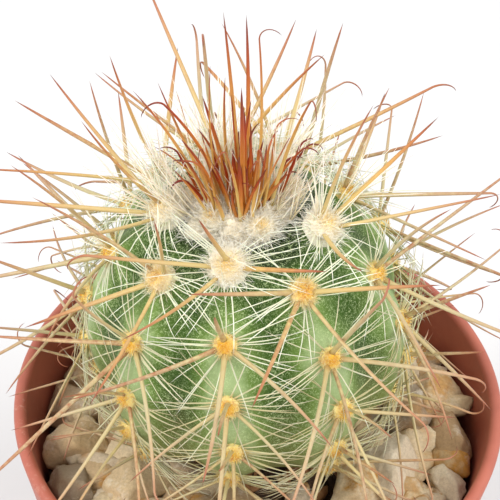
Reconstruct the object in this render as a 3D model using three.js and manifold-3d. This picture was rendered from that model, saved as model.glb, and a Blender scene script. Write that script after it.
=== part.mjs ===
// A small globular cactus in a round plastic nursery pot with a top dressing of crushed stone.
// Millimetres, +Z up. The origin is the centre of the pot's underside, and -Y is the front.
import * as THREE from "three";
import { mergeVertices } from "three/addons/utils/BufferGeometryUtils.js";
import Module from "manifold-3d";

const wasm = await Module();
wasm.setup();

const { lerp, smoothstep, degToRad } = THREE.MathUtils;

// Driving dimensions of the pot
const POT_HEIGHT = 52;
const RIM_RADIUS = 30;
const FOOT_RADIUS = 21.5;
const WALL = 1.6;
const FLOOR = 2;
const BAND_HEIGHT = 9;
const BAND_STEP = 0.9;
const DRAIN_HOLES = 6;
const DRAIN_RADIUS = 2;
const DRAIN_CIRCLE = 13;
const LIP_STEPS = 6;
const CORNER = 0.8;
const ROUND_SEGMENTS = 40;
const HOLE_SEGMENTS = 24;
const DRAIN_SEGMENTS = 12;

// Driving dimensions of the filling: stones lie in a field round the stem and in a ring at the wall
const GAP = 0.3;
const SOIL_TOP = 41;
const BED_THICKNESS = 2;
const FIELD_STONES = 30;
const FIELD_LENGTHS = [5.2, 10.5];
const WALL_STONES = 23;
const WALL_LENGTHS = [5.4, 8.6];
const WALL_RING = 6;
const LENGTH_BIAS = 1.5;
const STONE_WIDTH = 0.72;
const STONE_WIDTH_SPREAD = 0.1;
const STONE_HEIGHT = 0.58;
const STONE_HEIGHT_SPREAD = 0.07;
const STONE_ROUGHNESS = 0.13;
const STONE_TILT = 0.3;
const STONE_ANGLE_SPREAD = 0.1;
const STONE_SUNK = [0.9, 1.35];
const STONE_TOP = 48.6;
const STEM_CLEARING = 9.2;
const COLLAR_ROOM = 1;

// Driving dimensions of the stem: an ellipsoid that leans a little to the left
const BODY_RADIUS = 17.8;
const BODY_HALF_HEIGHT = 19.3;
const BODY_CENTRE = new THREE.Vector3(-1.65, 1.52, POT_HEIGHT + 12.3);
const BODY_LEAN = 0.07;
const BODY_ROWS = 23;
const NECK_RADIUS = 4.6;
const NECK_BOTTOM = 38;

// Areoles: nine straight ribs, and each areole is 80 degrees round from the one before. The arc
// from the crown to an areole grows by the pitch for each turn, less a little more each time.
const RIBS = 9;
const AREOLE_STEP = degToRad(80);
const FIRST_LONGITUDE = degToRad(-5);
const FIRST_AREOLE = 7;
const LAST_AREOLE = 51;
const LAST_YOUNG_AREOLE = 20;
const FIRST_PITCH = 9.3;
const PITCH_LOSS = 0.42;
const LONGITUDE_JITTER = 0.03;
const ARC_JITTER = 0.3;
const TUBERCLE_HEIGHT = 1.9;
const TUBERCLE_LENGTH = 4.3;
const TUBERCLE_WIDTH = 3.9;
const TUBERCLE_DEPTH = 8;
const TUBERCLE_LIMIT = 1.1;
const TUBERCLES_BEGIN = [3, 8];
const TUBERCLES_END = [2.2, 2.7];
const GROOVE_DEPTH = 0.9;
const DIMPLE_DEPTH = 1.1;
const DIMPLE_RADIUS = 5;
const PAD_RADIUS = 2.3;
const PAD_HEIGHT = 1.2;
const PAD_SUNK = 0.7;
const PAD_SIDES = 5;

// Long spines of an areole, four down its rim: azimuth and tilt in degrees, and how often each one
// ends in a hook. Those of four areoles at the front are set one by one.
const CENTRALS = [
  { azimuth: 272, tilt: 56, length: 18.5, hooks: 0.6 },
  { azimuth: 336, tilt: 62, length: 17, hooks: 0.25 },
  { azimuth: 204, tilt: 62, length: 17, hooks: 0.25 },
  { azimuth: 88, tilt: 32, length: 15.5, hooks: 0.4 },
];
const FRONT_CENTRALS = {
  9: [
    { azimuth: 190, tilt: 52, length: 17, hooks: 1 },
    { azimuth: 350, tilt: 57, length: 12, hooks: 0 },
    { azimuth: 238, tilt: 55, length: 18, hooks: 0 },
    { azimuth: 80, tilt: 14, length: 15, hooks: 0 },
  ],
  13: [
    { azimuth: 160, tilt: 30, length: 18, hooks: 0 },
    { azimuth: 250, tilt: 45, length: 16, hooks: 0 },
    { azimuth: 300, tilt: 60, length: 18, hooks: 0 },
    { azimuth: 60, tilt: 35, length: 14, hooks: 0 },
  ],
  14: [
    { azimuth: 270, tilt: 62, length: 20, hooks: 1 },
    { azimuth: 212, tilt: 70, length: 16, hooks: 0 },
    { azimuth: 332, tilt: 32, length: 17, hooks: 0 },
    { azimuth: 158, tilt: 76, length: 15, hooks: 0 },
  ],
  18: [
    { azimuth: 272, tilt: 47, length: 19, hooks: 0 },
    { azimuth: 334, tilt: 62, length: 18, hooks: 0 },
    { azimuth: 202, tilt: 59, length: 18, hooks: 0 },
    { azimuth: 96, tilt: 30, length: 14, hooks: 0 },
  ],
};
const CENTRAL_SPREAD = 14;
const CENTRAL_RADIUS = 0.38;
const CENTRAL_BOW = 0.35;
const CENTRAL_TWIST = 0.9;
const CENTRAL_FOOT = { offset: 0.5, sunk: 0.9 };
const CENTRAL_LENGTH_SPREAD = 0.18;
const CENTRAL_SHARES = [1.15, 0.7];
const YOUNG_UPRIGHTNESS = 0.2;
const HOOK_ARC = 3.6;
const HOOK_TURN = degToRad(130);
const HOOK_SPREAD = 0.3;

// Short spines of an areole: a flat star, denser to the left and right than up and down
const RADIALS = 5;
const RADIAL_RADIUS = 0.22;
const RADIAL_LENGTH = 8.5;
const RADIAL_LENGTH_SPREAD = 0.2;
const RADIAL_AZIMUTH_SPREAD = 0.12;
const RADIAL_TILT = 74;
const RADIAL_TILT_SPREAD = 6;
const RADIAL_BOW = 0.3;
const RADIAL_BOW_SPREAD = 0.6;
const RADIAL_FOOT = { offset: 0.9, sunk: 1.1 };
const SIDEWAYS = 0.3;

// Crown: a woolly cap at the growing point and its tuft of young spines, which stays in a cone
const CAP_ARC = 4.9;
const CAP_THICKNESS = 2;
const CAP_GAP = 0.4;
const CAP_ROWS = 5;
const CAP_EDGE = 0.9;
const YOUNG_SPINES = 34;
const YOUNG_LENGTHS = [6, 23];
const YOUNG_LENGTH_BIAS = 1.6;
const YOUNG_RADIUS = 0.42;
const YOUNG_LIFT = 0.9;
const YOUNG_HOOKS = 0.35;
const YOUNG_BOW = 0.3;
const YOUNG_TWIST = 1.2;
const TUFT_ROOTS = 0.8;
const TUFT_TILT = 0.45;
const TUFT_TILT_SPREAD = 0.14;
const TUFT_SLOPE = 0.65;

// Room between spines and what they pass: stones, the rim and the tuft's cone
const STONE_CLEARANCE = 0.8;
const RIM_CLEARANCE = 1.2;
const TUFT_CLEARANCE = 1.3;
const NUDGE = 0.09;
const TUFT_NUDGE = 0.06;
const NUDGE_LENGTH = 0.985;
const MOST_NUDGES = 40;
const SHAFT_CHECKS = 4;
const HOOK_CHECKS = 4;

// Seeds of the random draws. Those of an areole's parts are counted up from its number.
const GRAVEL_SEED = 11;
const TUFT_SEED = 77;
const AREOLE_SEED = 500;
const RADIAL_SEED = 4000;
const CENTRAL_SEED = 9000;

// A seeded source of numbers from 0 to 1, the same on every run
function randomFrom(seed) {
  let state = Math.imul(seed, 2654435761) >>> 0;
  return () => {
    state = (Math.imul(1664525, state) + 1013904223) >>> 0;
    return state / 4294967296;
  };
}

function spread(random, amount) {
  return amount * (2 * random() - 1);
}

const GOLDEN_ANGLE = Math.PI * (3 - Math.sqrt(5));

// Joining and cutting
function solidOf(geometry) {
  const bare = geometry.clone();
  bare.deleteAttribute("normal");
  bare.deleteAttribute("uv");
  const merged = mergeVertices(bare, 1e-4);
  return new wasm.Manifold(
    new wasm.Mesh({
      numProp: 3,
      vertProperties: merged.attributes.position.array,
      triVerts: new Uint32Array(merged.index.array),
    }),
  );
}

// All pieces as one body: hollows that the joining seals are filled, and loose scraps are left out
function joined(pieces) {
  const bodies = wasm.Manifold.union(pieces).decompose();
  return bodies.reduce((largest, body) => (body.volume() > largest.volume() ? body : largest));
}

function geometryOf(solid) {
  const mesh = solid.getMesh();
  const geometry = new THREE.BufferGeometry();
  geometry.setAttribute("position", new THREE.BufferAttribute(mesh.vertProperties, 3));
  geometry.setIndex(new THREE.BufferAttribute(mesh.triVerts, 1));
  geometry.computeVertexNormals();
  return geometry;
}

function namedMesh(name, geometry, colour, roughness) {
  const material = new THREE.MeshStandardMaterial({ color: colour, roughness, metalness: 0 });
  const mesh = new THREE.Mesh(geometry, material);
  mesh.name = name;
  return mesh;
}

// A geometry made about the Y axis, stood up about the vertical one
function turnedUp(geometry) {
  return geometry.rotateX(Math.PI / 2);
}

// A lathed solid about the vertical axis, from a profile of [radius, height] points
function turned(profile) {
  const points = profile.map(([radius, height]) => new THREE.Vector2(radius, height));
  return turnedUp(new THREE.LatheGeometry(points, ROUND_SEGMENTS));
}

// Pot
function outerWallRadius(z) {
  const top = RIM_RADIUS - BAND_STEP;
  return FOOT_RADIUS + ((top - FOOT_RADIUS) * z) / POT_HEIGHT;
}

function innerWallRadius(z) {
  return outerWallRadius(z) + BAND_STEP * (z / POT_HEIGHT) - WALL;
}

function potGeometry() {
  const bandBottom = POT_HEIGHT - BAND_HEIGHT;
  const lip = WALL / 2;
  const profile = [[0, 0], [FOOT_RADIUS - CORNER, 0], [outerWallRadius(CORNER), CORNER]];
  profile.push([outerWallRadius(bandBottom), bandBottom]);
  profile.push([outerWallRadius(bandBottom) + BAND_STEP, bandBottom + BAND_STEP]);
  for (let i = 0; i <= LIP_STEPS; i += 1) {
    const angle = (Math.PI * i) / LIP_STEPS;
    profile.push([RIM_RADIUS - lip + lip * Math.cos(angle), POT_HEIGHT - lip + lip * Math.sin(angle)]);
  }
  profile.push([innerWallRadius(FLOOR + CORNER), FLOOR + CORNER]);
  profile.push([innerWallRadius(FLOOR) - CORNER, FLOOR]);
  profile.push([0, FLOOR]);
  let pot = solidOf(turned(profile));
  for (let i = 0; i < DRAIN_HOLES; i += 1) {
    const angle = (2 * Math.PI * (i + 0.5)) / DRAIN_HOLES;
    const pin = new THREE.CylinderGeometry(DRAIN_RADIUS, DRAIN_RADIUS, 3 * FLOOR, DRAIN_SEGMENTS);
    const hole = turnedUp(pin);
    hole.translate(DRAIN_CIRCLE * Math.cos(angle), DRAIN_CIRCLE * Math.sin(angle), FLOOR / 2);
    pot = pot.subtract(solidOf(hole));
  }
  return geometryOf(pot);
}

// Soil, with the plain hole that the stem's root collar stands in
function neckCentre() {
  return bodyPlace(0, Math.PI, 0).point;
}

function soilGeometry() {
  const floor = FLOOR + GAP;
  const profile = [
    [0, floor],
    [innerWallRadius(FLOOR) - CORNER - GAP, floor],
    [innerWallRadius(FLOOR + CORNER) - GAP, floor + CORNER],
    [innerWallRadius(SOIL_TOP) - GAP, SOIL_TOP],
    [0, SOIL_TOP],
  ];
  const depth = SOIL_TOP - NECK_BOTTOM + GAP;
  const radius = NECK_RADIUS + GAP;
  const hole = turnedUp(new THREE.CylinderGeometry(radius, radius, 2 * depth, HOLE_SEGMENTS));
  hole.translate(neckCentre().x, neckCentre().y, SOIL_TOP);
  return geometryOf(solidOf(turned(profile)).subtract(solidOf(hole)));
}

// Gravel: a thin bed round the stem with crushed stones sunk into it
const BED_BOTTOM = SOIL_TOP + GAP;
const BED_TOP = BED_BOTTOM + BED_THICKNESS;

function stoneGeometry(random, length) {
  const ball = new THREE.IcosahedronGeometry(length / 2, 0);
  ball.deleteAttribute("normal");
  ball.deleteAttribute("uv");
  const stone = mergeVertices(ball, 1e-4);
  const corners = stone.attributes.position;
  for (let i = 0; i < corners.count; i += 1) {
    const swell = 1 + spread(random, STONE_ROUGHNESS);
    corners.setXYZ(i, corners.getX(i) * swell, corners.getY(i) * swell, corners.getZ(i) * swell);
  }
  const width = STONE_WIDTH + spread(random, STONE_WIDTH_SPREAD);
  stone.scale(1, width, STONE_HEIGHT + spread(random, STONE_HEIGHT_SPREAD));
  stone.rotateY(spread(random, STONE_TILT));
  stone.rotateX(spread(random, STONE_TILT));
  stone.rotateZ(Math.PI * random());
  stone.computeBoundingBox();
  const sunk = lerp(...STONE_SUNK, random());
  return stone.translate(0, 0, BED_TOP - sunk - stone.boundingBox.min.z);
}

// How far out a geometry reaches from the pot's axis
function farthest(geometry) {
  const corners = geometry.attributes.position;
  let reach = 0;
  for (let i = 0; i < corners.count; i += 1) {
    reach = Math.max(reach, Math.hypot(corners.getX(i), corners.getY(i)));
  }
  return reach;
}

function fieldStone(random, i, outer) {
  const length = lerp(...FIELD_LENGTHS, random() ** LENGTH_BIAS);
  const angle = i * GOLDEN_ANGLE + spread(random, STONE_ANGLE_SPREAD);
  const inner = STEM_CLEARING + length / 2;
  const share = (i + 0.5) / FIELD_STONES;
  const radius = Math.sqrt(lerp(inner ** 2, (outer - WALL_RING) ** 2, share));
  return stoneGeometry(random, length).translate(radius * Math.cos(angle), radius * Math.sin(angle), 0);
}

// A stone of the ring is slid outward until it almost meets the wall
function wallStone(random, i, outer) {
  const length = lerp(...WALL_LENGTHS, random() ** LENGTH_BIAS);
  const angle = (2 * Math.PI * i) / WALL_STONES;
  const radius = outer - length / 2;
  const stone = stoneGeometry(random, length);
  stone.translate(radius * Math.cos(angle), radius * Math.sin(angle), 0);
  const room = outer - GAP - farthest(stone);
  return stone.translate(room * Math.cos(angle), room * Math.sin(angle), 0);
}

function gravelGeometry() {
  const outer = innerWallRadius(BED_TOP) - GAP;
  const bed = turned([
    [0, BED_BOTTOM],
    [innerWallRadius(BED_BOTTOM) - GAP, BED_BOTTOM],
    [outer, BED_TOP],
    [0, BED_TOP],
  ]);
  const random = randomFrom(GRAVEL_SEED);
  const pieces = [solidOf(bed)];
  for (let i = 0; i < FIELD_STONES; i += 1) {
    pieces.push(solidOf(fieldStone(random, i, outer)));
  }
  for (let i = 0; i < WALL_STONES; i += 1) {
    pieces.push(solidOf(wallStone(random, i, outer)));
  }
  const radius = NECK_RADIUS + COLLAR_ROOM;
  const hole = turnedUp(new THREE.CylinderGeometry(radius, radius, 4 * BED_THICKNESS, HOLE_SEGMENTS));
  hole.translate(neckCentre().x, neckCentre().y, BED_BOTTOM);
  return geometryOf(joined(pieces).subtract(solidOf(hole)));
}

// The stem's surface. Longitude 0 faces the front and grows to the right, and the polar angle
// is 0 at the crown. A place holds the point and the outward, upward and rightward directions.
const MEAN_RADIUS = (BODY_RADIUS + BODY_HALF_HEIGHT) / 2;
const LEAN = new THREE.Matrix4().makeRotationY(-BODY_LEAN);

function bodyPlace(longitude, polar, lift) {
  const around = new THREE.Vector3(Math.sin(longitude), -Math.cos(longitude), 0);
  const axis = new THREE.Vector3(0, 0, 1);
  const sine = Math.sin(polar);
  const cosine = Math.cos(polar);
  const out = new THREE.Vector3()
    .addScaledVector(around, sine / BODY_RADIUS)
    .addScaledVector(axis, cosine / BODY_HALF_HEIGHT)
    .normalize();
  const up = new THREE.Vector3()
    .addScaledVector(around, -BODY_RADIUS * cosine)
    .addScaledVector(axis, BODY_HALF_HEIGHT * sine)
    .normalize();
  const right = new THREE.Vector3().crossVectors(up, out);
  const point = new THREE.Vector3()
    .addScaledVector(around, BODY_RADIUS * sine)
    .addScaledVector(axis, BODY_HALF_HEIGHT * cosine)
    .addScaledVector(out, lift);
  [point, out, up, right].forEach((vector) => vector.applyMatrix4(LEAN));
  point.add(BODY_CENTRE);
  return { point, out, up, right };
}

function areolePlaces() {
  const places = [];
  for (let n = FIRST_AREOLE; n <= LAST_AREOLE; n += 1) {
    const random = randomFrom(AREOLE_SEED + n);
    const turns = n / RIBS;
    const arc = FIRST_PITCH * turns - PITCH_LOSS * turns ** 2;
    const longitude = FIRST_LONGITUDE + n * AREOLE_STEP + spread(random, LONGITUDE_JITTER);
    const polar = (arc + spread(random, ARC_JITTER)) / MEAN_RADIUS;
    const youth = 1 - smoothstep(n, FIRST_AREOLE, LAST_YOUNG_AREOLE);
    places.push({ n, longitude, polar, youth, flat: bodyPlace(longitude, polar, 0) });
  }
  return places;
}

const AREOLES = areolePlaces();

// Height of the skin over the smooth ellipsoid: a tubercle under each areole, and a dimple at the
// crown
function skinHeight(longitude, polar) {
  const arc = polar * MEAN_RADIUS;
  const here = bodyPlace(longitude, polar, 0).point;
  let share = 0;
  for (const { flat } of AREOLES) {
    const step = here.clone().sub(flat.point);
    const along = step.dot(flat.up) / TUBERCLE_LENGTH;
    const aside = step.dot(flat.right) / TUBERCLE_WIDTH;
    const deep = step.dot(flat.out) / TUBERCLE_DEPTH;
    share += Math.exp(-(along ** 2) - aside ** 2 - deep ** 2);
  }
  const shown = smoothstep(arc, ...TUBERCLES_BEGIN) * (1 - smoothstep(polar, ...TUBERCLES_END));
  const tubercles = shown * (TUBERCLE_HEIGHT * Math.min(share, TUBERCLE_LIMIT) - GROOVE_DEPTH);
  return tubercles - DIMPLE_DEPTH * Math.exp(-((arc / DIMPLE_RADIUS) ** 2));
}

function skinPlace(longitude, polar, lift) {
  return bodyPlace(longitude, polar, skinHeight(longitude, polar) + lift);
}

// A drum of unit radius to be moved into shape: one row of corners at each whole height
function drumGeometry(rows, segments) {
  const profile = [new THREE.Vector2(0, 0)];
  for (let row = 1; row <= rows; row += 1) {
    profile.push(new THREE.Vector2(1, row));
  }
  profile.push(new THREE.Vector2(0, rows + 1));
  return new THREE.LatheGeometry(profile, segments);
}

// The body's rows run from the crown round to the root collar, then straight down
function bodySolid() {
  const neckPolar = Math.PI - Math.asin(NECK_RADIUS / BODY_RADIUS);
  const geometry = drumGeometry(BODY_ROWS, ROUND_SEGMENTS);
  const corners = geometry.attributes.position;
  for (let i = 0; i < corners.count; i += 1) {
    const row = corners.getY(i);
    const longitude = Math.atan2(-corners.getX(i), corners.getZ(i));
    const polar = (Math.min(row, BODY_ROWS - 1) / (BODY_ROWS - 1)) * neckPolar;
    const { point } = skinPlace(row === 0 ? 0 : longitude, polar, 0);
    if (row === BODY_ROWS) {
      point.z = NECK_BOTTOM;
    }
    if (row > BODY_ROWS) {
      point.copy(neckCentre()).setZ(NECK_BOTTOM);
    }
    corners.setXYZ(i, point.x, point.y, point.z);
  }
  return solidOf(geometry);
}

// A spine's path bends in one plane: along the shaft by its bow, then round its hook
function spinePath(spine, shaftSteps, hookSteps) {
  const { root, along, towards, length, bow, hook } = spine;
  const steps = Array.from({ length: shaftSteps }, () => [length / shaftSteps, bow / shaftSteps]);
  if (hook) {
    steps.push(...Array.from({ length: hookSteps }, () => [HOOK_ARC / hookSteps, hook / hookSteps]));
  }
  const points = [root.clone()];
  let angle = 0;
  for (const [stride, turn] of steps) {
    angle += turn;
    const next = points[points.length - 1].clone();
    next.addScaledVector(along, stride * Math.cos(angle));
    next.addScaledVector(towards, stride * Math.sin(angle));
    points.push(next);
  }
  return points;
}

// A three-sided cone whose rings are moved onto a path
function needleSolid(spine, path, radius) {
  const rings = path.length - 1;
  const cone = new THREE.ConeGeometry(radius, rings, 3, rings);
  const side = new THREE.Vector3().crossVectors(spine.along, spine.towards);
  const corners = cone.attributes.position;
  for (let i = 0; i < corners.count; i += 1) {
    const ring = Math.round(corners.getY(i) + rings / 2);
    const ahead = path[Math.min(ring + 1, rings)].clone();
    const forward = ahead.sub(path[Math.max(ring - 1, 0)]).normalize();
    const across = new THREE.Vector3().crossVectors(side, forward);
    const point = path[ring].clone();
    point.addScaledVector(side, corners.getX(i)).addScaledVector(across, corners.getZ(i));
    corners.setXYZ(i, point.x, point.y, point.z);
  }
  return solidOf(cone);
}

// How far a point is outside the cone that the tuft stays in
const CROWN = bodyPlace(0, 0, 0);

function roomFromTuft(point) {
  const step = point.clone().sub(CROWN.point);
  const height = step.dot(CROWN.out);
  if (height < -2 * CAP_THICKNESS) {
    return TUFT_CLEARANCE;
  }
  const aside = step.addScaledVector(CROWN.out, -height).length();
  return aside - CAP_ARC - TUFT_SLOPE * Math.max(height, -CAP_THICKNESS);
}

// A spine stays over the stones inside the pot, over the rim outside it, and out of the tuft
function isClear(path) {
  return path.slice(1).every((point) => {
    const overRim = Math.hypot(point.x, point.y) > innerWallRadius(POT_HEIGHT) - 2 * WALL;
    const floor = overRim ? POT_HEIGHT + RIM_CLEARANCE : STONE_TOP + STONE_CLEARANCE;
    return point.z > floor && roomFromTuft(point) >= TUFT_CLEARANCE;
  });
}

// The spine with its direction moved towards another one, and a little shorter
function nudged(spine, turn, amount) {
  const along = spine.along.clone().addScaledVector(turn, amount).normalize();
  const slant = spine.towards.dot(along);
  const towards = spine.towards.clone().addScaledVector(along, -slant).normalize();
  return { ...spine, along, towards, length: NUDGE_LENGTH * spine.length };
}

// A spine that isn't clear is turned up from the pot, or out from the tuft
function clearedSpine(spine) {
  let current = spine;
  for (let attempt = 0; attempt < MOST_NUDGES; attempt += 1) {
    const path = spinePath(current, SHAFT_CHECKS, HOOK_CHECKS);
    if (isClear(path)) {
      return current;
    }
    const tip = path[SHAFT_CHECKS];
    const away = new THREE.Vector3(tip.x - CROWN.point.x, tip.y - CROWN.point.y, 0).normalize();
    const turn = tip.z < BODY_CENTRE.z ? new THREE.Vector3(0, 0, 1) : away;
    current = nudged(current, turn, NUDGE);
  }
  return null;
}

// A spine may stand at another azimuth of its areole than it leans to
function spineAt(place, azimuth, tilt, rootAzimuth, foot) {
  const directionAt = (angle) =>
    new THREE.Vector3()
      .addScaledVector(place.right, Math.cos(angle))
      .addScaledVector(place.up, Math.sin(angle));
  const across = directionAt(azimuth);
  const root = place.point.clone();
  root.addScaledVector(directionAt(rootAzimuth), foot.offset).addScaledVector(place.out, -foot.sunk);
  const along = new THREE.Vector3()
    .addScaledVector(place.out, Math.cos(tilt))
    .addScaledVector(across, Math.sin(tilt));
  const towards = new THREE.Vector3()
    .addScaledVector(place.out, -Math.sin(tilt))
    .addScaledVector(across, Math.cos(tilt));
  return { root, along, towards };
}

// The spines near the crown are the longest, and the lowest ones are the shortest
function lengthShare(n) {
  return lerp(...CENTRAL_SHARES, smoothstep(n, FIRST_AREOLE, LAST_AREOLE));
}

function centralSpines({ n, longitude, polar, youth }) {
  const random = randomFrom(CENTRAL_SEED + n);
  const place = skinPlace(longitude, polar, PAD_HEIGHT);
  const isFront = n in FRONT_CENTRALS;
  const jitter = isFront ? 0 : 1;
  const layout = isFront ? FRONT_CENTRALS[n] : CENTRALS;
  return layout
    .map(({ azimuth, tilt, length, hooks }) => {
      const turn = degToRad(azimuth + jitter * spread(random, CENTRAL_SPREAD));
      const straightened = 1 - YOUNG_UPRIGHTNESS * youth * jitter;
      const lean = straightened * degToRad(tilt + jitter * spread(random, CENTRAL_SPREAD));
      const share = isFront ? 1 : lengthShare(n) * (1 + spread(random, CENTRAL_LENGTH_SPREAD));
      const bow = spread(random, CENTRAL_BOW);
      const hook = random() < hooks ? HOOK_TURN * (1 + spread(random, HOOK_SPREAD)) : 0;
      const spine = spineAt(place, turn, lean, turn, CENTRAL_FOOT);
      spine.towards.applyAxisAngle(spine.along, spread(random, CENTRAL_TWIST));
      return clearedSpine({ ...spine, length: share * length, bow, hook });
    })
    .filter(Boolean);
}

function radialSpines({ n, longitude, polar }) {
  const random = randomFrom(RADIAL_SEED + n);
  const place = skinPlace(longitude, polar, PAD_HEIGHT);
  const spines = [];
  for (let i = 0; i < RADIALS; i += 1) {
    const turn = (2 * Math.PI * (i + 0.5)) / RADIALS + spread(random, RADIAL_AZIMUTH_SPREAD);
    const azimuth = turn - SIDEWAYS * Math.sin(2 * turn);
    const lean = degToRad(RADIAL_TILT + spread(random, RADIAL_TILT_SPREAD));
    const length = RADIAL_LENGTH * (1 + spread(random, RADIAL_LENGTH_SPREAD));
    const bow = RADIAL_BOW * (1 + spread(random, RADIAL_BOW_SPREAD));
    const spine = spineAt(place, azimuth, lean, turn, RADIAL_FOOT);
    spines.push(clearedSpine({ ...spine, length, bow, hook: 0 }));
  }
  return spines.filter(Boolean);
}

function padSolid({ longitude, polar }) {
  const pad = new THREE.ConeGeometry(PAD_RADIUS, PAD_HEIGHT + PAD_SUNK, PAD_SIDES);
  const place = skinPlace(longitude, polar, (PAD_HEIGHT - PAD_SUNK) / 2);
  const turn = new THREE.Matrix4().makeBasis(place.right, place.out, place.up.clone().negate());
  pad.applyMatrix4(turn).translate(place.point.x, place.point.y, place.point.z);
  return solidOf(pad);
}

function stemGeometry() {
  const pieces = [bodySolid()];
  for (const areole of AREOLES) {
    pieces.push(padSolid(areole));
    for (const spine of centralSpines(areole)) {
      pieces.push(needleSolid(spine, spinePath(spine, spine.hook ? 1 : 2, 3), CENTRAL_RADIUS));
    }
    for (const spine of radialSpines(areole)) {
      pieces.push(needleSolid(spine, spinePath(spine, 1, 0), RADIAL_RADIUS));
    }
  }
  return geometryOf(joined(pieces));
}

// Crown: the cap's rows run out over its top and back under it
function capSolid() {
  const rows = CAP_ROWS;
  const geometry = drumGeometry(2 * rows, ROUND_SEGMENTS / 2);
  const corners = geometry.attributes.position;
  for (let i = 0; i < corners.count; i += 1) {
    const row = corners.getY(i);
    const isTop = row <= rows;
    const share = isTop ? row / rows : (2 * rows + 1 - row) / rows;
    const longitude = share === 0 ? 0 : Math.atan2(-corners.getX(i), corners.getZ(i));
    const dome = CAP_THICKNESS * Math.sqrt(1 - (CAP_EDGE * share) ** 2);
    const polar = (CAP_ARC * share) / MEAN_RADIUS;
    const { point } = skinPlace(longitude, polar, isTop ? CAP_GAP + dome : CAP_GAP);
    corners.setXYZ(i, point.x, point.y, point.z);
  }
  return solidOf(geometry);
}

function youngSpines() {
  const random = randomFrom(TUFT_SEED);
  const spines = [];
  for (let i = 0; i < YOUNG_SPINES; i += 1) {
    const share = Math.sqrt((i + 0.5) / YOUNG_SPINES);
    const place = skinPlace(i * GOLDEN_ANGLE, (TUFT_ROOTS * CAP_ARC * share) / MEAN_RADIUS, YOUNG_LIFT);
    const away = place.point.clone().sub(CROWN.point);
    away.addScaledVector(CROWN.out, -away.dot(CROWN.out)).normalize();
    const tilt = TUFT_TILT * share + spread(random, TUFT_TILT_SPREAD);
    const along = new THREE.Vector3().addScaledVector(CROWN.out, Math.cos(tilt));
    along.addScaledVector(away, Math.sin(tilt));
    const towards = new THREE.Vector3().addScaledVector(CROWN.out, -Math.sin(tilt));
    towards.addScaledVector(away, Math.cos(tilt));
    const length = lerp(...YOUNG_LENGTHS, random() ** YOUNG_LENGTH_BIAS);
    const hook = random() < YOUNG_HOOKS ? HOOK_TURN : 0;
    const bow = spread(random, YOUNG_BOW);
    towards.applyAxisAngle(along, spread(random, YOUNG_TWIST));
    let spine = { root: place.point, along, towards, length, bow, hook };
    while (spinePath(spine, SHAFT_CHECKS, HOOK_CHECKS).some((point) => roomFromTuft(point) > 0)) {
      spine = nudged(spine, CROWN.out, TUFT_NUDGE);
    }
    spines.push(spine);
  }
  return spines;
}

function crownGeometry() {
  const pieces = [capSolid()];
  for (const spine of youngSpines()) {
    pieces.push(needleSolid(spine, spinePath(spine, 2, 3), YOUNG_RADIUS));
  }
  return geometryOf(joined(pieces));
}

const cactus = new THREE.Group();
cactus.add(namedMesh("pot", potGeometry(), 0xc86f58, 0.45));
cactus.add(namedMesh("soil", soilGeometry(), 0x3c2c20, 0.95));
cactus.add(namedMesh("gravel", gravelGeometry(), 0xd2bd9c, 0.8));
cactus.add(namedMesh("stem", stemGeometry(), 0x6f9c62, 0.6));
cactus.add(namedMesh("crown", crownGeometry(), 0x9c4a26, 0.6));

export default cactus;
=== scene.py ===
from dataclasses import dataclass
from math import asin, atan2, copysign, cos, exp, hypot, pi, radians, sin, sqrt

import bmesh
import bpy
from mathutils import Matrix, Vector, noise


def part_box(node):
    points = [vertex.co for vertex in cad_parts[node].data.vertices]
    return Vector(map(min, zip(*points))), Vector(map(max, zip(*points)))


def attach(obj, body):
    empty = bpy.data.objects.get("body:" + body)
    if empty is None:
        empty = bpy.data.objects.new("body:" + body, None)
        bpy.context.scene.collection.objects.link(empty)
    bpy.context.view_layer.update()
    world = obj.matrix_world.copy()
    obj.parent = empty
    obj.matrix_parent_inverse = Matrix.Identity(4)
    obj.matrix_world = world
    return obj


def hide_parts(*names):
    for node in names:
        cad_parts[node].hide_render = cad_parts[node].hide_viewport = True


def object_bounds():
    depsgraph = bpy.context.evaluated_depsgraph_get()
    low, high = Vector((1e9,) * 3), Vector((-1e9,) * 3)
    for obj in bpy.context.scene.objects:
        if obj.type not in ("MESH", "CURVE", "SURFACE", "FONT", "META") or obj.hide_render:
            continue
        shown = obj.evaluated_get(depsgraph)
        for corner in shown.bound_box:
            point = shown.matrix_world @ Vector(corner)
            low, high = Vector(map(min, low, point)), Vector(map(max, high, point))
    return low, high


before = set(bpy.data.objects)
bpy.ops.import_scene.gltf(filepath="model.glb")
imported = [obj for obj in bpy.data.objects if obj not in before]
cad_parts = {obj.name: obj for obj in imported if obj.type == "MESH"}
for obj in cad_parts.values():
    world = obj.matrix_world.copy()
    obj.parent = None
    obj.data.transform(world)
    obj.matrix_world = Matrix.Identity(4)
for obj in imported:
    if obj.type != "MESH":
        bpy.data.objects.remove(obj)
CAD_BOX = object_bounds()

# Lengths below are in millimetres, and meshes are written in metres
MM = 0.001
GOLDEN_ANGLE = pi * (3 - sqrt(5))


def low_corner(node):
    return Vector(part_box(node)[0]) / MM


def high_corner(node):
    return Vector(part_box(node)[1]) / MM


# Pot, from the frame and the walls that the frame's pot has
POT_HEIGHT = high_corner("pot").z
RIM_RADIUS = high_corner("pot").x
FOOT_RADIUS = 21.5
WALL = 1.6
FLOOR = 2
BAND_HEIGHT = 9
BAND_STEP = 0.9
CORNER = 0.8
DRAIN_HOLES = 6
DRAIN_RADIUS = 2
DRAIN_CIRCLE = 13

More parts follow.
